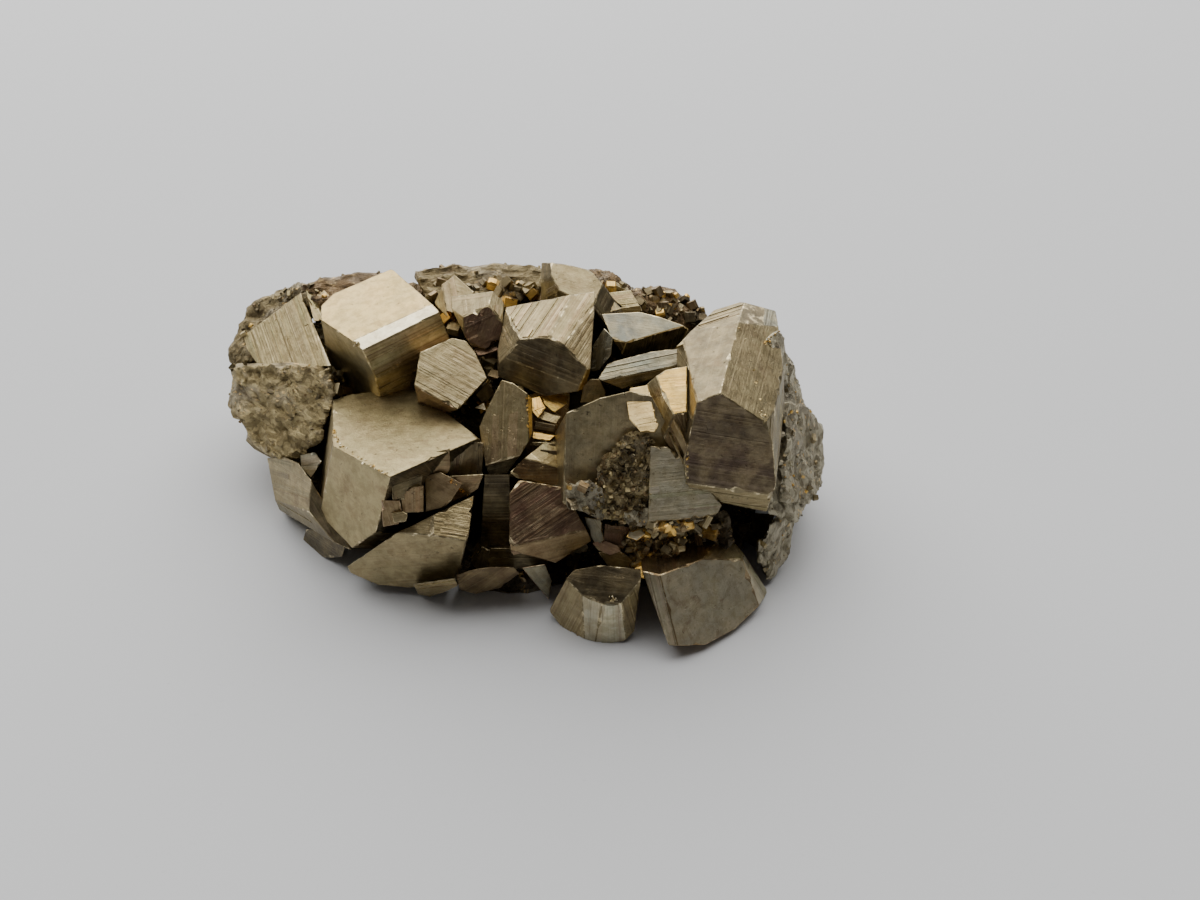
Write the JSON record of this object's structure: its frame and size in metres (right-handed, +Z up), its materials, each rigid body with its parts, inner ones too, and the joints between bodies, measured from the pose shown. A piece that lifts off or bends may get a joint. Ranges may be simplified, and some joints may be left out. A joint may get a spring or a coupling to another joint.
{
  "type": "pyrite specimen",
  "caption": "Hand-sized cluster of blocky, striated pyrite crystals grown together on a rough massive base, with stepped breaks and small crystals in the hollows.",
  "frame": {"origin": "centre of the bounding box, on the floor it lies on", "axes": "+X along the specimen's length, to the right in the picture; +Y away from the side the picture shows; +Z up"},
  "size_m": [0.1234, 0.0836, 0.0449],
  "materials": {
    "pyrite": "dull brassy metal of natural crystal faces, with rough broken ground between them"
  },
  "bodies": {
    "root": {"pyrite_cluster": "pyrite"}
  },
  "joints": []
}
